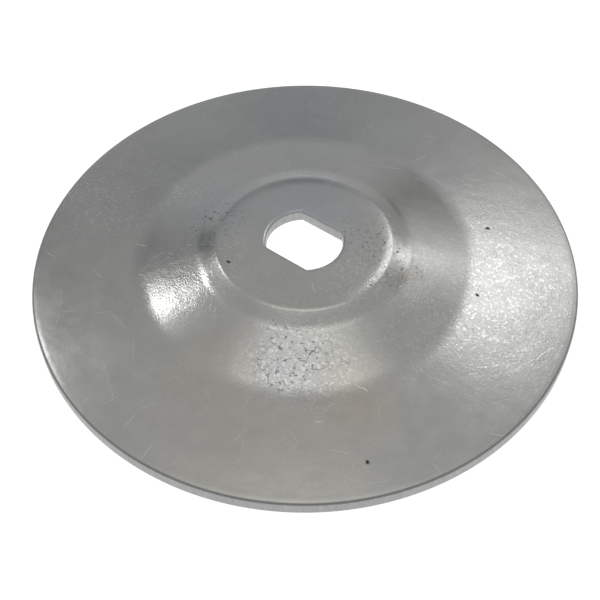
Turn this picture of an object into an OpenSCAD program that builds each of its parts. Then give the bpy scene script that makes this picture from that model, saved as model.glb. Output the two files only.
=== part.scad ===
// Flange washer: one round disc pressed from steel sheet, with a shallow conical flange, a steeper
// shoulder, a short step up to a flat raised hub, and a double-D hole for a shaft with two flats.
// Millimetres. +Z is up and is the washer's axis. The origin is in the plane on which the rim
// stands, at its centre, and the hole's flats run along X.

/* [Disc] */
// Outside diameter of the disc
disc_d = 114.3; // [108:0.1:122]
// Thickness of the steel sheet
sheet_t = 3; // [2.2:0.1:3.8]
// Height the flange climbs from the rim to the crease
flange_rise = 2.35; // [1.2:0.05:4]
// Radius of the rounded upper edge of the rim, drawn in by the blanking die
rim_roll = 0.8; // [0.2:0.05:1.2]
// Size of the small bevel where the blank broke away, at the lower edge of the rim
rim_break = 0.3; // [0.1:0.05:0.5]

/* [Shoulder] */
// Diameter of the crease where the flange turns up into the shoulder
crease_d = 69.4; // [64:0.1:76]
// Inside radius of the bend at the crease
crease_bend = 26; // [10:0.5:40]
// Height the shoulder climbs from the crease to the foot of the hub
shoulder_rise = 2.65; // [1.8:0.05:4]

/* [Hub] */
// Diameter of the foot of the hub, where the shoulder turns up into the step
foot_d = 44.4; // [40:0.1:48]
// Inside radius of the bend at the foot
foot_bend = 20; // [8:0.5:28]
// Height of the step from the foot to the flat top of the hub
step_rise = 1.55; // [0.8:0.05:2.6]
// Diameter of the flat top of the hub, to the middle of its edge
hub_d = 34.6; // [32:0.1:37]
// Inside radius of the bend at the edge of the hub, on its underside
hub_bend = 1.6; // [0.6:0.1:3]

/* [Hole] */
// Diameter of the round sides of the hole
hole_d = 15.9; // [14:0.1:18]
// Distance across the two flats of the hole
hole_flats = 12.2; // [11:0.1:13.8]
// Radius of the rounded upper edge of the hole, drawn in by the punch
hole_roll = 0.6; // [0.2:0.05:1]
// Width of the broken edge at the bottom of the hole
hole_break_w = 0.3; // [0.1:0.05:0.5]
// Height of the broken edge at the bottom of the hole
hole_break_h = 0.7; // [0.3:0.05:1]

/* [Hidden] */
$fn = 96;
disc_r = disc_d / 2;
steel = [0.66, 0.66, 0.65];

// Corners of the upper face, from the axis outwards: [radius, height]
flange_slope = flange_rise / (disc_r - crease_d / 2);
stand_r = disc_r - rim_break;
rim_z = sheet_t * sqrt(1 + flange_slope * flange_slope) - rim_break * flange_slope;
crease_z = rim_z + flange_rise;
foot_z = crease_z + shoulder_rise;
hub_z = foot_z + step_rise;
under_z = hub_z - sheet_t;
axis_top = [0, hub_z];
hub_edge = [hub_d / 2, hub_z];
foot = [foot_d / 2, foot_z];
crease = [crease_d / 2, crease_z];
rim_top = [disc_r, rim_z];

// Every bend is drawn in at least this many straight steps, and in more where it turns further
// than this many degrees a step
bend_steps = 8;
bend_degrees = 6;

// How far past a face a cutting shape reaches
past = 2;

// Unit vector from a to b
function along(a, b) = (b - a) / norm(b - a);

// Vector u turned by an angle to the left
function turned(u, angle) = [
  u[0] * cos(angle) - u[1] * sin(angle),
  u[0] * sin(angle) + u[1] * cos(angle)
];

// The corner of the underside that lies below corner b of the upper face, which runs from a
// over b to c: it is one sheet thickness from both lines
function below(a, b, c) =
  let (
    up_in = turned(along(a, b), 90),
    up_out = turned(along(b, c), 90)
  )
  b - sheet_t * (up_in + up_out) / (1 + up_in * up_out);

// Points of the arc of radius r that rounds corner b, on the way from a over b to c
function bend(a, b, c, r) =
  let (
    u = along(a, b),
    v = along(b, c),
    turn = atan2(cross(u, v), u * v),
    side = sign(turn),
    centre = b - r * tan(abs(turn) / 2) * u + side * r * turned(u, 90),
    steps = max(bend_steps, ceil(abs(turn) / bend_degrees))
  )
  [for (i = [0:steps]) centre - side * r * turned(u, 90 + turn * i / steps)];

// Points of a closed outline: each corner is rounded by its radius, or left sharp at 0
function outline(corners, radii) =
  let (n = len(corners))
  [
    for (i = [0:n - 1])
      for (p = radii[i] == 0
           ? [corners[i]]
           : bend(corners[(i + n - 1) % n], corners[i], corners[(i + 1) % n], radii[i]))
        p
  ];

// The washer's section to one side of the axis: out along the upper face, down the rim and back
// along the underside, one sheet thickness below
module sheet_section() {
  corners = [
    axis_top,
    hub_edge,
    foot,
    crease,
    rim_top,
    [disc_r, rim_break],
    [stand_r, 0],
    below(foot, crease, rim_top),
    below(hub_edge, foot, crease),
    below(axis_top, hub_edge, foot),
    [0, under_z]
  ];
  radii = [
    0,
    hub_bend + sheet_t,
    foot_bend,
    crease_bend,
    rim_roll,
    0,
    0,
    crease_bend + sheet_t,
    foot_bend + sheet_t,
    hub_bend,
    0
  ];
  polygon(outline(corners, radii));
}

// Half of the hole's section, for a wall that stands half_w from the axis: rounded at the top,
// straight below, and widened at the bottom where the slug broke out
module hole_section(half_w) {
  translate([0, under_z - past])
    square([half_w, sheet_t + 2 * past]);
  difference() {
    translate([0, hub_z - hole_roll])
      square([half_w + hole_roll, hole_roll + past]);
    translate([half_w + hole_roll, hub_z - hole_roll])
      circle(hole_roll);
  }
  polygon([
    [0, under_z + hole_break_h],
    [half_w, under_z + hole_break_h],
    [half_w + hole_break_w, under_z],
    [half_w + hole_break_w, under_z - past],
    [0, under_z - past]
  ]);
}

// The double-D hole: what a round hole and a slot with flat sides have in common
module double_d_hole() {
  intersection() {
    rotate_extrude()
      hole_section(hole_d / 2);
    rotate([90, 0, 90])
      linear_extrude(hole_d + 4 * past, center = true) {
        hole_section(hole_flats / 2);
        mirror([1, 0])
          hole_section(hole_flats / 2);
      }
  }
}

module flange_washer() {
  color(steel)
    difference() {
      rotate_extrude()
        sheet_section();
      double_d_hole();
    }
}

flange_washer();
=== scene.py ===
# %% [markdown]
# # A pressed steel flange washer
# The washer is one disc of sheet steel, stamped in a press and then zinc plated. A shallow
# conical flange climbs from the rim to a crease, a steeper shoulder climbs on from there, and a
# short step leads up to the flat hub with its double-D hole. This lesson builds it as one closed
# surface, gives it the look of handled zinc plating, and lights it as a small studio would.
#
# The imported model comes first. It is the frame that everything here has to fit.

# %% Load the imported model
import math

import bpy
import numpy as np
from mathutils import Matrix, Vector


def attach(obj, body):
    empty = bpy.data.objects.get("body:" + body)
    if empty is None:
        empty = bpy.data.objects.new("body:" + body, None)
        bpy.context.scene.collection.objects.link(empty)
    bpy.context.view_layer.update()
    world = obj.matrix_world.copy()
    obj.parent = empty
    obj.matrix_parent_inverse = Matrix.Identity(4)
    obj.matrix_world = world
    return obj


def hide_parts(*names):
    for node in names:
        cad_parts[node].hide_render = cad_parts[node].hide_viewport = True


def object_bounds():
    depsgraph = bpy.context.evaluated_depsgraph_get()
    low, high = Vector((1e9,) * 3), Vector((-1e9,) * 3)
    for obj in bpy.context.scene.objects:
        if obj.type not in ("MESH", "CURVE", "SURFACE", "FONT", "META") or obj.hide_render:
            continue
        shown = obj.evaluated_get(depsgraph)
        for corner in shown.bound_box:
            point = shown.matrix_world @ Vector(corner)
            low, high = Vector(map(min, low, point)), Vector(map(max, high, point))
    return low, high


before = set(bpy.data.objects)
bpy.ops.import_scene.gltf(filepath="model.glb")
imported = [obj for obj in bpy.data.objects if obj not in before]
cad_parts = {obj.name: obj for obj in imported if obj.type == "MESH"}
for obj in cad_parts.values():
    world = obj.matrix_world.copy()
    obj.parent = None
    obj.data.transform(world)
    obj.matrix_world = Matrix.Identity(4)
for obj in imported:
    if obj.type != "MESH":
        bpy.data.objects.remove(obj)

cad_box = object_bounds()
print("nodes:", list(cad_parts))
print("box of the solid, in mm:", [[round(1000 * v, 2) for v in corner] for corner in cad_box])

# %% [markdown]
# ## The camera
# A camera set close to a round disc shows its near half larger than its far half, so the
# distance matters as much as the angle. The lens is 60 mm on a 36 mm sensor, and the camera
# stands a good hand's length away, about 50 degrees above the table. It is turned 37 degrees
# round the axis, because that is how the flats of the hole lie in the photograph.

# %% Camera
LENS_MM = 60.0
CAMERA_AT = Vector((0.08264, -0.11087, 0.16377))
CAMERA_AIM = Vector((0.00583, -0.00946, 0.0033))
CAMERA_ROLL = math.radians(-0.67)
VIEW_TURN = math.radians(36.7)


def camera_turned_to(place, aim, roll):
    """Rotation whose -Z looks from place to aim, with X level and then rolled about the view."""
    forward = (aim - place).normalized()
    level = forward.cross(Vector((0, 0, 1))).normalized()
    above = level.cross(forward)
    right = level * math.cos(roll) + above * math.sin(roll)
    return Matrix((right, right.cross(forward), -forward)).transposed().to_4x4()


camera_data = bpy.data.cameras.new("camera")
camera_data.lens = LENS_MM
camera_data.sensor_width = 36.0
camera_data.clip_start = 0.005
camera = bpy.data.objects.new("camera", camera_data)
camera.matrix_world = Matrix.Translation(CAMERA_AT) @ camera_turned_to(
    CAMERA_AT, CAMERA_AIM, CAMERA_ROLL
)
bpy.context.scene.collection.objects.link(camera)
bpy.context.scene.camera = camera
print("camera", round(1000 * (CAMERA_AIM - CAMERA_AT).length), "mm from its aim")

# %% [markdown]
# ## The section of the sheet
# A pressed part is drawn by its upper face: a few straight legs, joined by bends. The underside
# is the same line one sheet thickness lower, so each of its corners is found from the two legs
# that meet there. Both lines are worked out the same way, as arcs and evenly spaced points.
#
# The overall size and the height of the hub are the solid's own. The legs follow it to within
# 0.3 mm, with the hub's border drooping a little, because that is where the light breaks.

# %% Sizes, in metres
DISC_R = 0.05715
SHEET_T = 0.003
FLANGE_RISE = 0.00205
SHOULDER_RISE = 0.00295
CREASE_R = 0.0349
FOOT_R = 0.022
HUB_R = 0.0183
HUB_FLAT_R = 0.0165
HUB_DROOP = 0.00015
CREASE_BEND = 0.026
FOOT_BEND = 0.014
HUB_BEND = 0.0008
DROOP_BEND = 0.022
RIM_ROLL = 0.0006
RIM_BREAK = 0.0003
HOLE_R = 0.00795
HALF_FLATS = 0.0061
HOLE_ROLL = 0.0006
HOLE_BREAK_W = 0.0003
HOLE_BREAK_H = 0.0007

flange_slope = FLANGE_RISE / (DISC_R - CREASE_R)
rim_z = SHEET_T * math.hypot(1, flange_slope) - RIM_BREAK * flange_slope
hub_z = cad_box[1][2]
under_z = hub_z - SHEET_T
print("hub stands", round(1000 * hub_z, 3), "mm high")


# %% Bends and legs
def unit(v):
    """v divided by its own length."""
    return v / np.hypot(*v)


def left_of(u):
    """u turned a quarter turn to the left: (x, y) becomes (-y, x)."""
    return np.array([-u[1], u[0]])


def bend(a, b, c, radius, steps):
    """Points of the arc that rounds corner b on the way from a to c.

    The turn is the angle between the two legs. The arc starts radius * tan(turn / 2) before
    the corner, and its centre is one radius to the side that the path turns to.
    """
    u, v = unit(b - a), unit(c - b)
    turn = math.atan2(u[0] * v[1] - u[1] * v[0], u @ v)
    side = math.copysign(1, turn)
    centre = b - radius * math.tan(abs(turn) / 2) * u + side * radius * left_of(u)
    swing = np.linspace(0, turn, steps + 1)[:, None]
    arm = -side * radius * left_of(u)
    return centre + np.cos(swing) * arm + np.sin(swing) * left_of(arm)


def path(corners, radii, spacing, bend_steps=10):
    """An open path: straight legs in steps no longer than spacing, and rounded corners."""
    corners = [np.array(p, float) for p in corners]
    pieces = [corners[0][None]]
    for i in range(1, len(corners)):
        if i < len(corners) - 1 and radii[i]:
            piece = bend(corners[i - 1], corners[i], corners[i + 1], radii[i], bend_steps)
        else:
            piece = corners[i][None]
        start = pieces[-1][-1]
        count = max(1, math.ceil(np.hypot(*(piece[0] - start)) / spacing))
        share = np.linspace(0, 1, count + 1)[1:-1, None]
        pieces += [start + share * (piece[0] - start), piece]
    return np.concatenate(pieces)


def below(a, b, c):
    """The corner of the underside below corner b: one thickness from both legs' lines."""
    n = left_of(unit(np.subtract(b, a)))
    m = left_of(unit(np.subtract(c, b)))
    return np.array(b) - SHEET_T * (n + m) / (1 + n @ m)


# %% [markdown]
# ## The double-D hole
# The hole is what a round hole and a slot have in common. At an inset w outside its wall it is a
# circle of radius R + w cut by two lines at F + w from the middle. The four corners have to fall
# on the same columns of the grid at every inset, so each quarter is drawn in two parts: the
# round side up to the corner's angle, and the flat side from there.

# %% Outline of the hole
ROUND_COLUMNS = 72
FLAT_COLUMNS = 54


def column_angles(w):
    """Angles of all columns at inset w; the corner is where sin(angle) = (F + w) / (R + w)."""
    corner = math.asin((HALF_FLATS + w) / (HOLE_R + w))
    quarter = np.concatenate(
        [
            np.linspace(0, corner, ROUND_COLUMNS + 1)[:-1],
            np.linspace(corner, math.pi / 2, FLAT_COLUMNS + 1),
        ]
    )
    half = np.concatenate([quarter, math.pi - quarter[-2::-1]])
    return np.concatenate([half, math.pi + half[1:-1]])


def double_d(w):
    """Points of the hole's outline at inset w, as x and y columns."""
    angle = column_angles(w)
    flat = (HALF_FLATS + w) / np.maximum(np.abs(np.sin(angle)), 1e-9)
    radius = np.minimum(HOLE_R + w, flat)
    return np.stack([radius * np.cos(angle), radius * np.sin(angle)], -1)


def circle(radius):
    """A plain ring with the same columns as the hole's outline at inset 0."""
    angle = column_angles(0.0)
    return radius * np.stack([np.cos(angle), np.sin(angle)], -1)


# %% [markdown]
# ## The washer's surface
# The surface is a closed band of rings. It starts at the rounded upper edge of the hole, runs
# out over the hub, shoulder and flange, round the rim, back along the underside, and up the
# wall of the hole. On the flat hub the rings change from the hole's outline to plain circles.
#
# A pressing is never perfectly true. Its metal flows unevenly over the punch, so mirror-like
# plating shows wandering reflections. The faces therefore swell and sink by a few hundredths
# of a millimetre, fading to nothing at the hub's flat and at the rim.

# %% Rings of the surface
BLEND_R = 0.0125
RING_SPACING = 0.00095

top_corners = [
    (BLEND_R, hub_z),
    (HUB_FLAT_R, hub_z),
    (HUB_R, hub_z - HUB_DROOP),
    (FOOT_R, rim_z + FLANGE_RISE + SHOULDER_RISE),
    (CREASE_R, rim_z + FLANGE_RISE),
    (DISC_R, rim_z),
    (DISC_R, RIM_BREAK),
    (DISC_R - RIM_BREAK, 0.0),
]
top_radii = [
    0, DROOP_BEND + SHEET_T, HUB_BEND + SHEET_T, FOOT_BEND, CREASE_BEND, RIM_ROLL, 0, 0
]
under_corners = [
    (DISC_R - RIM_BREAK, 0.0),
    below(*top_corners[3:6]),
    below(*top_corners[2:5]),
    below(*top_corners[1:4]),
    below(*top_corners[0:3]),
    (BLEND_R, under_z),
]
under_radii = [0, CREASE_BEND + SHEET_T, FOOT_BEND + SHEET_T, HUB_BEND, DROOP_BEND, 0]

upper = path(top_corners, top_radii, RING_SPACING)
lower = path(under_corners, under_radii, 1.4 * RING_SPACING)


def roll_rings(steps=7):
    """The rounded upper edge of the hole: w = roll (1 - cos t), z = hub - roll (1 - sin t)."""
    t = np.linspace(0, math.pi / 2, steps)
    w = HOLE_ROLL * (1 - np.cos(t))
    z = hub_z - HOLE_ROLL * (1 - np.sin(t))
    return [(double_d(a), b) for a, b in zip(w, z)]


def blend_rings(outline, z, steps):
    """Flat rings from the hole's outline to the circle of radius BLEND_R, both ends left out."""
    ring = circle(BLEND_R)
    return [((1 - s) * outline + s * ring, z) for s in np.linspace(0, 1, steps + 1)[1:-1]]


def wall_rings():
    """The broken lower edge and the straight wall of the hole, from the bottom up."""
    start = under_z + HOLE_BREAK_H
    end = hub_z - HOLE_ROLL
    rings = [(double_d(HOLE_BREAK_W), under_z)]
    rings += [(double_d(HOLE_BREAK_W * (1 - s)), under_z + s * HOLE_BREAK_H) for s in (0.5, 1)]
    return rings + [(double_d(0.0), z) for z in np.linspace(start, end, 5)[1:-1]]


rings = (
    roll_rings()
    + blend_rings(double_d(HOLE_ROLL), hub_z, 7)
    + [(circle(r), z) for r, z in upper]
    + [(circle(r), z) for r, z in lower[1:]]
    + blend_rings(double_d(HOLE_BREAK_W), under_z, 6)[::-1]
    + wall_rings()
)
ring_count, column_count = len(rings), len(rings[0][0])
print(ring_count, "rings of", column_count, "points")


# %% Uneven pressing
def unevenness(x, y):
    """Rise of the face in metres, a sum of a few slow waves round and across the disc.

    Each wave is a cosine of a whole number of turns round the axis, with a phase that shifts
    with the radius. A window in the radius keeps it off the flat hub and off the rim.
    """
    r, angle = np.hypot(x, y), np.arctan2(y, x)
    inside = np.clip((r - 0.019) / 0.006, 0, 1)
    outside = np.clip((DISC_R - 0.001 - r) / 0.006, 0, 1)
    window = (inside * outside) ** 2 * (3 - 2 * inside) * (3 - 2 * outside)
    wave = (
        0.9 * np.cos(2 * angle + 40 * r + 0.6)
        + 0.8 * np.cos(3 * angle - 90 * r + 2.1)
        + 0.6 * np.cos(5 * angle + 150 * r + 4.0)
        + 0.4 * np.cos(8 * angle - 260 * r + 1.2)
    )
    return 0.000018 * window * wave


flat_xy = np.array([outline for outline, z in rings])
height = np.array([z for outline, z in rings])[:, None] + unevenness(flat_xy[..., 0], flat_xy[..., 1])
points = np.concatenate([flat_xy, height[..., None]], -1).reshape(-1, 3)


# %% Mesh
def band_faces(rings, columns):
    """Four corners of every face of a grid that closes on itself in both directions."""
    i, j = np.meshgrid(np.arange(rings), np.arange(columns), indexing="ij")
    i2, j2 = (i + 1) % rings, (j + 1) % columns
    corner = [i * columns + j, i2 * columns + j, i2 * columns + j2, i * columns + j2]
    return np.stack(corner, -1).reshape(-1, 4)


def volume(points, quads):
    """Volume inside a closed mesh of quads: the sum of a . (b x c) / 6 over its triangles."""
    a, b, c, d = (points[quads[:, k]] for k in range(4))
    return (np.sum(a * np.cross(b, c)) + np.sum(a * np.cross(c, d))) / 6


def mesh_from(name, points, quads):
    """A smooth mesh object in which edges that turn by more than 30 degrees stay crisp."""
    mesh = bpy.data.meshes.new(name)
    mesh.vertices.add(len(points))
    mesh.vertices.foreach_set("co", points.astype(np.float32).ravel())
    mesh.loops.add(quads.size)
    mesh.loops.foreach_set("vertex_index", quads.astype(np.int32).ravel())
    mesh.polygons.add(len(quads))
    mesh.polygons.foreach_set("loop_start", np.arange(0, quads.size, 4, dtype=np.int32))
    mesh.polygons.foreach_set("use_smooth", np.ones(len(quads), bool))
    mesh.update(calc_edges=True)
    mesh.validate()
    mesh.set_sharp_from_angle(angle=math.radians(30))
    piece = bpy.data.objects.new(name, mesh)
    bpy.context.scene.collection.objects.link(piece)
    return piece


quads = band_faces(ring_count, column_count)
if volume(points, quads) < 0:
    quads = quads[:, ::-1]
washer = mesh_from("pressed_washer", points, quads)
print(2 * len(quads), "triangles,", round(volume(points, quads) * 1e6, 2), "cm3 of steel")

# %% [markdown]
# ## Zinc plating
# Bright zinc on steel is a soft mirror. It is all metal, so its colour is the colour of its
# reflections, and what tells it from chrome is its grain, its faint yellow and blue tints, and
# the marks of handling. All of these are patterns worked out from a point's place on the
# washer. An image would be simpler, but it would stretch over the steep faces.

# %% Material helpers
def add(tree, kind, inputs=None, **settings):
    """A node of that kind, with its settings, and each input set to a value or linked."""
    node = tree.nodes.new(kind)
    for key, value in settings.items():
        setattr(node, key, value)
    for key, value in (inputs or {}).items():
        if isinstance(value, bpy.types.NodeSocket):
            tree.links.new(value, node.inputs[key])
        else:
            node.inputs[key].default_value = value
    return node


def maths(tree, operation, a, b=0.0, c=0.0, clamp=False):
    """The result of one sum on numbers or sockets."""
    node = add(tree, "ShaderNodeMath", {0: a, 1: b, 2: c}, operation=operation, use_clamp=clamp)
    return node.outputs[0]


def fade(tree, value, start, end, low=0.0, high=1.0):
    """Goes smoothly from low to high as value goes from start to end, and stays there."""
    inputs = {"Value": value, "From Min": start, "From Max": end, "To Min": low, "To Max": high}
    node = add(tree, "ShaderNodeMapRange", inputs, interpolation_type="SMOOTHSTEP")
    return node.outputs["Result"]


def clouds(tree, place, per_metre, detail=2.0, rough=0.5):
    """Noise between 0 and 1, with about per_metre lumps in a metre."""
    inputs = {"Vector": place, "Scale": per_metre, "Detail": detail, "Roughness": rough}
    return add(tree, "ShaderNodeTexNoise", inputs).outputs["Fac"]


def blend(tree, amount, a, b):
    """Colour a turned into colour b by that amount."""
    node = add(tree, "ShaderNodeMix", {0: amount}, data_type="RGBA", clamp_factor=True)
    for socket, value in (("A_Color", a), ("B_Color", b)):
        target = next(i for i in node.inputs if i.identifier == socket)
        if isinstance(value, bpy.types.NodeSocket):
            tree.links.new(value, target)
        else:
            target.default_value = (*value, 1)
    return next(o for o in node.outputs if o.identifier == "Result_Color")


def soft_spot(tree, place, spot, inner=0.0):
    """1 at a spot (x, y, radius in mm), fading to 0 at its radius."""
    x, y, radius = (v / 1000 for v in spot)
    flat = add(tree, "ShaderNodeVectorMath", {0: place, 1: (1, 1, 0)}, operation="MULTIPLY")
    gap = add(
        tree, "ShaderNodeVectorMath", {0: flat.outputs[0], 1: (x, y, 0)}, operation="DISTANCE"
    )
    return fade(tree, gap.outputs["Value"], radius, inner * radius)


def largest(tree, values):
    """The largest of several masks at each point."""
    result = values[0]
    for value in values[1:]:
        result = maths(tree, "MAXIMUM", result, value)
    return result


zinc = bpy.data.materials.new("zinc_plated_steel")
zinc.use_nodes = True
tree = zinc.node_tree
shader = tree.nodes["Principled BSDF"]
shader.inputs["Metallic"].default_value = 1.0
place = add(tree, "ShaderNodeTexCoord").outputs["Object"]

# %% [markdown]
# ### Tints
# Zinc plating is left in a thin clear film whose thickness drifts over the part. It reads as
# a warm grey at the front, a cool grey behind, and blue on the hub. One spot on the shoulder,
# right of the hub, is simply darker and browner. Each tint is a soft round spot, broken up by
# noise so that no edge of it shows.

# %% Tints
NEUTRAL = (0.615, 0.62, 0.605)
# Middle and radius in mm, then the colour the metal turns there
TINTS = [
    (-30, 36, 52, (0.575, 0.605, 0.60)),
    (20, -36, 50, (0.63, 0.615, 0.575)),
    (-4, 7, 17, (0.575, 0.605, 0.65)),
    (-22, -2, 16, (0.555, 0.60, 0.61)),
    (31, -24, 11, (0.65, 0.615, 0.545)),
    (2, -36, 9, (0.64, 0.615, 0.56)),
    # This spot is darker and browner than the plating round it.
    (23, 4, 6, (0.53, 0.51, 0.48)),
    (15, -24, 11, (0.61, 0.612, 0.62)),
]

drift = add(
    tree,
    "ShaderNodeTexNoise",
    {"Vector": place, "Scale": 70.0, "Detail": 3.0},
).outputs["Color"]
shift = add(tree, "ShaderNodeVectorMath", {0: drift, 1: (0.5, 0.5, 0.5)}, operation="SUBTRACT")
WANDER = 0.012
wandering = add(
    tree,
    "ShaderNodeVectorMath",
    {0: shift.outputs[0], 1: (WANDER, WANDER, 0), 2: place},
    operation="MULTIPLY_ADD",
).outputs[0]
colour = blend(tree, 0.0, NEUTRAL, NEUTRAL)
for *spot, tint in TINTS:
    colour = blend(tree, soft_spot(tree, wandering, spot), colour, tint)
mottle = fade(tree, clouds(tree, place, 120, 4, 0.6), 0.3, 0.7, 0.0, 0.16)
colour = blend(tree, mottle, colour, (0.40, 0.40, 0.395))

# %% [markdown]
# ### Grain
# The steel's own skin shows through the plating as a fine grain. It catches the light as tiny
# bright and dark specks, most of all where the washer has been rubbed. Two layers make it: a
# bump a third of a millimetre across, and small burnished flecks that are smoother than the
# rest. A mask of soft spots says where they are strong, and another where dark specks lie.

# %% Grain
# Middle and radius in mm of the areas that are speckled most
RUBBED = [(40, 10, 34), (14, 0, 12), (-14, -21, 17), (17, -23, 15), (-44, -8, 22), (30, 34, 20)]
patchy = fade(tree, clouds(tree, place, 90, 3, 0.6), 0.42, 0.62)
rubbed = largest(tree, [soft_spot(tree, wandering, spot, 0.3) for spot in RUBBED])
grainy = maths(tree, "MULTIPLY_ADD", rubbed, 0.75, maths(tree, "MULTIPLY", patchy, 0.25))
grain = clouds(tree, place, 2300, 2, 0.6)
flecks = fade(tree, clouds(tree, place, 1500, 1, 0.5), 0.56, 0.64)
bright_flecks = maths(tree, "MULTIPLY", flecks, grainy)

# Middle and radius in mm of the areas that are peppered with fine dark specks
PEPPERED = [(12, 8, 9), (15, -23, 10), (-19, -6, 8), (21, 6, 8)]
specks = fade(tree, clouds(tree, place, 1250, 2, 0.6), 0.58, 0.68)
peppered = largest(tree, [soft_spot(tree, wandering, spot, 0.4) for spot in PEPPERED])
dark_specks = maths(tree, "MULTIPLY", specks, peppered)

# %% [markdown]
# ### Scratches
# Handling leaves scratches of every length, in all directions. A cell pattern scatters them:
# each cell has one point, and a colour that serves as its throw of the dice. In the cell's own
# turned coordinates a scratch is a thin bowed line, and it is kept in only a share of cells.

# %% Scratches
def scratches(tree, place, cells, half_length, half_width, share, start):
    """Mask of one scratch in a share of the cells, with cells to a metre and sizes in mm.

    The line is |across + bow * along^2| < half_width for |along| < half_length, where along
    and across are the offset from the cell's point, turned by a random angle.
    """
    moved = add(tree, "ShaderNodeVectorMath", {0: place, 1: start}, operation="ADD").outputs[0]
    cell = add(
        tree,
        "ShaderNodeTexVoronoi",
        {"Vector": moved, "Scale": cells, "Randomness": 1.0},
        voronoi_dimensions="2D",
    )
    offset = add(
        tree, "ShaderNodeVectorMath", {0: moved, 1: cell.outputs["Position"]}, operation="SUBTRACT"
    )
    dice = add(tree, "ShaderNodeSeparateColor", {0: cell.outputs["Color"]}).outputs
    turned = add(
        tree,
        "ShaderNodeVectorRotate",
        {"Vector": offset.outputs[0], "Angle": maths(tree, "MULTIPLY", dice[0], 2 * math.pi)},
        rotation_type="Z_AXIS",
    )
    line = add(tree, "ShaderNodeSeparateXYZ", {0: turned.outputs[0]}).outputs
    bow = maths(tree, "MULTIPLY_ADD", dice[1], 60.0, -30.0)
    across = maths(tree, "MULTIPLY_ADD", maths(tree, "MULTIPLY", line[0], line[0]), bow, line[1])
    width = half_width / 1000
    reach = half_length / 1000
    thin = fade(tree, maths(tree, "ABSOLUTE", across), width, 0.3 * width)
    ends = fade(tree, maths(tree, "ABSOLUTE", line[0]), reach, 0.4 * reach)
    kept = maths(tree, "LESS_THAN", dice[2], share)
    return maths(tree, "MULTIPLY", kept, maths(tree, "MULTIPLY", thin, ends))


# Cells to a metre, half length and half width in mm, share of cells, and a shift in metres
LAYERS = [
    (70, 6.0, 0.045, 0.30, (0.013, 0.029, 0)),
    (160, 2.4, 0.05, 0.40, (0.051, 0.007, 0)),
    (330, 1.1, 0.05, 0.45, (0.037, 0.083, 0)),
    (330, 1.0, 0.06, 0.45, (0.071, 0.019, 0)),
    (700, 0.5, 0.05, 0.50, (0.011, 0.061, 0)),
]
layers = [scratches(tree, place, *layer) for layer in LAYERS]
long_ones = largest(tree, layers[:2])
short_ones = maths(tree, "MULTIPLY", largest(tree, layers[2:]), grainy)
scratched = maths(tree, "MAXIMUM", long_ones, short_ones)


# %% [markdown]
# ### Marks placed one by one
# A few marks are large enough to be remembered one by one: bright scores on the right and at
# the front, five pits, and a crazed patch at the front of the shoulder. Scattering can't put
# them where they belong, so each has its own place in millimetres. Their coordinates tremble a
# little, because no real scratch is a ruled line.

# %% Marks placed one by one
def stroke(tree, place, start, end, half_width, bow=0.0):
    """Mask of a line from start to end, all in mm, bowed sideways in its middle."""
    a, b = Vector(start) / 1000, Vector(end) / 1000
    middle, reach = (a + b) / 2, (b - a).length / 2
    turned = add(
        tree,
        "ShaderNodeVectorRotate",
        {
            "Vector": place,
            "Center": (middle.x, middle.y, 0),
            "Angle": -math.atan2(b.y - a.y, b.x - a.x),
        },
        rotation_type="Z_AXIS",
    )
    line = add(tree, "ShaderNodeSeparateXYZ", {0: turned.outputs[0]}).outputs
    along = maths(tree, "SUBTRACT", line[0], middle.x)
    square = maths(tree, "MULTIPLY", along, along)
    bowed = maths(tree, "MULTIPLY_ADD", square, bow / 1000 / reach**2, -middle.y - bow / 1000)
    across = maths(tree, "ABSOLUTE", maths(tree, "ADD", line[1], bowed))
    thin = fade(tree, across, half_width / 1000, 0.2 * half_width / 1000)
    return maths(tree, "MULTIPLY", thin, fade(tree, square, reach**2, (0.6 * reach) ** 2))


TREMBLE = 0.0012
tremor = add(
    tree,
    "ShaderNodeTexNoise",
    {"Vector": place, "Scale": 500.0, "Detail": 2.0},
).outputs["Color"]
tremor = add(tree, "ShaderNodeVectorMath", {0: tremor, 1: (0.5, 0.5, 0.5)}, operation="SUBTRACT")
trembling = add(
    tree,
    "ShaderNodeVectorMath",
    {0: tremor.outputs[0], 1: (TREMBLE, TREMBLE, 0), 2: place},
    operation="MULTIPLY_ADD",
).outputs[0]

# Where the film has crazed: middle and radius in mm. The web of cracks is the border between the
# cells of a wandering cell pattern, with dark scratches over it, and noise breaks both up.
CRAZED = [(14.5, -24.5, 8.5), (21.5, -21.0, 4.5)]
CRACK_HALF_WIDTH = 0.00009
# Light scratches
SCORES = [
    ((27.0, -21.2), (30.4, -20.5), 0.12, 0.2),
    ((25.6, -32.1), (27.4, -30.8), 0.12, 0.1),
    ((42.5, -4.6), (49.6, 3.0), 0.12, 0.2),
    ((43.0, -5.4), (45.0, -3.8), 0.12, 0.0),
    ((51.8, 5.6), (53.2, 11.0), 0.16, 0.2),
    ((18.0, -25.0), (20.4, -23.2), 0.12, 0.0),
    ((-38, -14), (-34, -17), 0.10, 0.2),
    ((5, 50), (12, 46), 0.10, 0.3),
]
# Pits through the plating: middle and radius in mm
PITS = [
    (27.2, 29.4, 0.7),
    (34.9, 11.9, 0.5),
    (38.1, -32.5, 0.55),
    (-8.8, -14.1, 0.6),
    (18, -1.9, 0.3),
]

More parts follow.
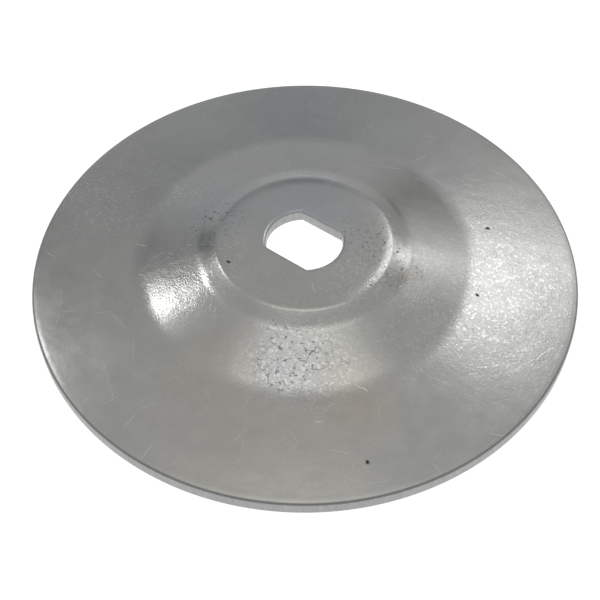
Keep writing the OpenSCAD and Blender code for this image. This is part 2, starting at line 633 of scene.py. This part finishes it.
cell_border = add(
    tree,
    "ShaderNodeTexVoronoi",
    {"Vector": trembling, "Scale": 300.0, "Randomness": 1.0},
    voronoi_dimensions="2D",
    feature="DISTANCE_TO_EDGE",
).outputs["Distance"]
web = fade(tree, cell_border, 300 * CRACK_HALF_WIDTH, 60 * CRACK_HALF_WIDTH)
broken = fade(tree, clouds(tree, place, 520, 3, 0.6), 0.42, 0.54)
crazed = largest(tree, [soft_spot(tree, wandering, spot, 0.5) for spot in CRAZED])
dark_lines = scratches(tree, trembling, 240, 2.6, 0.05, 0.6, (0.023, 0.047, 0))
fine = maths(tree, "MAXIMUM", maths(tree, "MULTIPLY", web, 0.6), dark_lines)
cracks = maths(tree, "MULTIPLY", maths(tree, "MULTIPLY", fine, broken), crazed)
scores = largest(tree, [stroke(tree, trembling, *line) for line in SCORES])
pits = largest(tree, [soft_spot(tree, trembling, spot, 0.3) for spot in PITS])

# %% [markdown]
# ### Cut edges
# The rim and the hole were cut by a punch and die. A cut edge is duller than the rolled faces,
# and streaked in the direction the punch went, so it is picked out by where it lies: by its
# distance from the axis, and in the hole by its height too. The hub's border is worn duller.

# %% Cut edges
xyz = add(tree, "ShaderNodeSeparateXYZ", {0: place}).outputs
squares = [maths(tree, "MULTIPLY", axis, axis) for axis in xyz[:2]]
radius = maths(tree, "SQRT", maths(tree, "ADD", *squares))
on_rim = fade(tree, radius, DISC_R - 0.0007, DISC_R - 0.0002)
worn_border = maths(
    tree,
    "MULTIPLY",
    fade(tree, radius, HUB_R - 0.0008, HUB_R - 0.0001),
    fade(tree, radius, HUB_R + 0.0016, HUB_R + 0.0008),
)
in_hole = maths(
    tree,
    "MULTIPLY",
    fade(tree, radius, 0.0088, 0.0084),
    maths(
        tree,
        "MULTIPLY",
        fade(tree, xyz[2], hub_z - 0.0002, hub_z - 0.0005),
        fade(tree, xyz[2], under_z, under_z + 0.0001),
    ),
)
cut = maths(tree, "MAXIMUM", on_rim, in_hole)
streaks = clouds(
    tree,
    add(tree, "ShaderNodeVectorMath", {0: place, 1: (1, 1, 0.12)}, operation="MULTIPLY").outputs[0],
    1800,
    3,
    0.6,
)

# %% [markdown]
# ### Putting the finish together
# The marks change three things. They tint the metal, they make it duller or smoother, and they
# raise or sink it by a few hundredths of a millimetre. Each is a sum that starts from the plain
# plating and takes in one mark after another, so a mark can be turned up or down by itself.

# %% Colour of the plating
colour = blend(tree, maths(tree, "MULTIPLY", cracks, 0.75), colour, (0.22, 0.22, 0.22))
colour = blend(tree, maths(tree, "MULTIPLY", scores, 0.6), colour, (0.85, 0.85, 0.84))
colour = blend(tree, maths(tree, "MULTIPLY", long_ones, 0.5), colour, (0.78, 0.78, 0.77))
colour = blend(tree, maths(tree, "MULTIPLY", bright_flecks, 0.4), colour, (0.92, 0.92, 0.90))
cut_colour = blend(tree, streaks, (0.26, 0.265, 0.26), (0.42, 0.425, 0.42))
colour = blend(tree, cut, colour, cut_colour)
colour = blend(tree, maths(tree, "MULTIPLY", dark_specks, 0.75), colour, (0.20, 0.20, 0.20))
colour = blend(tree, pits, colour, (0.07, 0.065, 0.06))
tree.links.new(colour, shader.inputs["Base Color"])

# %% Roughness of the plating
PLAIN_ROUGHNESS = 0.16
FLANGE_DULLER_BY = 0.04
on_flange = fade(tree, radius, CREASE_R - 0.002, CREASE_R + 0.002)
sheen = fade(tree, clouds(tree, place, 200, 4, 0.65), 0.3, 0.7, -0.03, 0.03)
plain = maths(tree, "MULTIPLY_ADD", on_flange, FLANGE_DULLER_BY, PLAIN_ROUGHNESS)
dull = maths(tree, "ADD", sheen, plain)
dull = maths(tree, "MULTIPLY_ADD", bright_flecks, -0.1, dull)
dull = maths(tree, "MULTIPLY_ADD", scratched, 0.16, dull)
dull = maths(tree, "MULTIPLY_ADD", worn_border, 0.05, dull)
dull = maths(tree, "MULTIPLY_ADD", dark_specks, 0.15, dull)
dull = maths(tree, "MULTIPLY_ADD", maths(tree, "MAXIMUM", cracks, cut), 0.2, dull)
dull = maths(tree, "MULTIPLY_ADD", pits, 0.35, dull, clamp=True)
tree.links.new(dull, shader.inputs["Roughness"])

# %% Relief of the plating, in metres
GRAIN_DEPTH = 2.1e-5
SCRATCH_DEPTH = 5e-6
RIPPLE_DEPTH = 3e-5
grain_share = maths(tree, "MULTIPLY_ADD", grainy, 0.85, 0.15)
relief = maths(tree, "MULTIPLY", maths(tree, "MULTIPLY", grain, grain_share), GRAIN_DEPTH)
relief = maths(tree, "MULTIPLY_ADD", clouds(tree, place, 260, 2), RIPPLE_DEPTH, relief)
relief = maths(tree, "MULTIPLY_ADD", scratched, -SCRATCH_DEPTH, relief)
marks = largest(tree, [cracks, scores, pits])
relief = maths(tree, "MULTIPLY_ADD", marks, -2 * SCRATCH_DEPTH, relief)
bump = add(tree, "ShaderNodeBump", {"Height": relief, "Strength": 1.0, "Distance": 1.0})
tree.links.new(bump.outputs["Normal"], shader.inputs["Normal"])
print(len(tree.nodes), "nodes in the plating")

# %% The washer takes the place of the plain solid
washer.data.materials.append(zinc)
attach(washer, "root")
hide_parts("flange_washer")

# %% [markdown]
# ## Table and light
# The washer lies on a pale table. The table is a plain plane with a little light of its own, so
# that it stays an even near-white round the part and fills the hole with the same white.

# %% Table
TABLE_HALF = 2.0
table_corners = [(x * TABLE_HALF, y * TABLE_HALF, 0) for x, y in ((-1, -1), (1, -1), (1, 1), (-1, 1))]
floor_data = bpy.data.meshes.new("table")
floor_data.from_pydata(table_corners, [], [(0, 1, 2, 3)])
floor = bpy.data.objects.new("table", floor_data)
bpy.context.scene.collection.objects.link(floor)
pale = bpy.data.materials.new("pale_table")
pale.use_nodes = True
pale_shader = pale.node_tree.nodes["Principled BSDF"]
pale_shader.inputs["Base Color"].default_value = (0.9, 0.9, 0.9, 1)
pale_shader.inputs["Roughness"].default_value = 0.9
pale_shader.inputs["Emission Color"].default_value = (1, 1, 1, 1)
pale_shader.inputs["Emission Strength"].default_value = 0.75
floor.data.materials.append(pale)
print("table", 2 * TABLE_HALF, "m wide")

# %% [markdown]
# ### What the metal sees
# A mirror-like part is lit by what stands round it. Each light is placed by the direction in
# which the washer reflects it, in degrees to the right of and above a point that is 50 degrees
# up behind the washer: that is where the flat hub reflects. A tall window stands to the right
# and a small lamp to the left. The dim room between them is brighter overhead and far right.

# %% Softboxes
CHART_UP = 50.0


def toward(x, y):
    """Unit vector x degrees right of and y degrees above the middle of the chart.

    The middle is CHART_UP degrees above the far horizon. The vector is the middle's, turned by
    the angle hypot(x, y) towards the chart's right and upward directions.
    """
    up = math.radians(CHART_UP)
    turn = math.radians(math.hypot(x, y))
    share = (x, y) if turn == 0 else (x / math.hypot(x, y), y / math.hypot(x, y))
    middle = Vector((0, math.cos(up), math.sin(up)))
    above = Vector((0, -math.sin(up), math.cos(up)))
    ray = middle * math.cos(turn) + (Vector((1, 0, 0)) * share[0] + above * share[1]) * math.sin(turn)
    return Matrix.Rotation(VIEW_TURN, 3, "Z") @ ray


def softbox(name, x, y, width, height, radiance, far=0.8):
    """A rectangular light at chart place (x, y), width by height degrees across."""
    light = bpy.data.lights.new(name, "AREA")
    light.shape = "RECTANGLE"
    light.size = 2 * far * math.tan(math.radians(width / 2))
    light.size_y = 2 * far * math.tan(math.radians(height / 2))
    light.energy = radiance * math.pi * light.size * light.size_y
    lamp = bpy.data.objects.new(name, light)
    place = toward(x, y) * far
    lamp.matrix_world = Matrix.Translation(place) @ camera_turned_to(place, Vector(), 0.0)
    bpy.context.scene.collection.objects.link(lamp)
    return lamp


softbox("window_right", 18.5, 2.5, 14, 16, 0.98)
softbox("lamp_left", -31.3, 8, 4.5, 9, 3.1)
print(len(bpy.data.lights), "softboxes")

# %% [markdown]
# ### The room
# Between the softboxes the metal mirrors a dim grey room. An even grey would leave it flat, so
# soft patches of light and shade are laid over the grey, each placed like a softbox. They are
# part of the world light and not lamps, because their edges have to fade out completely.

# %% Room
ROOM = (0.42, 0.42, 0.415)
# Chart place, spread in degrees, and how much light it adds or takes away
PATCHES = [
    (-34, -11, 6, (-0.28, -0.27, -0.26)),
    (23, -24, 5, (-0.20, -0.21, -0.20)),
    (0, -13, 4, (-0.17, -0.17, -0.15)),
    (-13, -11, 4, (-0.17, -0.17, -0.15)),
    (13, -11, 4, (-0.12, -0.12, -0.10)),
    (0, -21, 6, (-0.06, -0.06, -0.05)),
    (-24, -2, 4, (-0.15, -0.15, -0.14)),
    (19, -4, 7, (0.22, 0.22, 0.21)),
    (-30, 7, 7, (0.12, 0.12, 0.11)),
    (-23, 7, 4, (-0.16, -0.16, -0.155)),
    (34, -3, 3.5, (1.3, 1.3, 1.28)),
    (-9, 32, 5, (0.46, 0.46, 0.45)),
    (2, 33, 5, (0.50, 0.50, 0.49)),
    (11, 31, 4, (0.36, 0.36, 0.35)),
]


def room(world):
    """World light: an even grey plus soft patches exp((cos(angle) - 1) / spread^2)."""
    world.use_nodes = True
    tree = world.node_tree
    background = tree.nodes["Background"]
    way = add(tree, "ShaderNodeTexCoord").outputs["Generated"]
    total = add(tree, "ShaderNodeCombineXYZ", {0: ROOM[0], 1: ROOM[1], 2: ROOM[2]}).outputs[0]
    for x, y, spread, tint in PATCHES:
        facing = add(
            tree, "ShaderNodeVectorMath", {0: way, 1: toward(x, y)}, operation="DOT_PRODUCT"
        )
        sharpness = 1 / math.radians(spread) ** 2
        power = maths(tree, "MULTIPLY_ADD", facing.outputs["Value"], sharpness, -sharpness)
        amount = maths(tree, "EXPONENT", power)
        patch = add(tree, "ShaderNodeVectorMath", {0: tint, "Scale": amount}, operation="SCALE")
        total = add(
            tree, "ShaderNodeVectorMath", {0: total, 1: patch.outputs[0]}, operation="ADD"
        ).outputs[0]
    tree.links.new(total, background.inputs["Color"])


world = bpy.data.worlds.new("studio")
bpy.context.scene.world = world
room(world)
bpy.context.scene.view_settings.view_transform = "Standard"
print(len(PATCHES), "patches of light and shade")
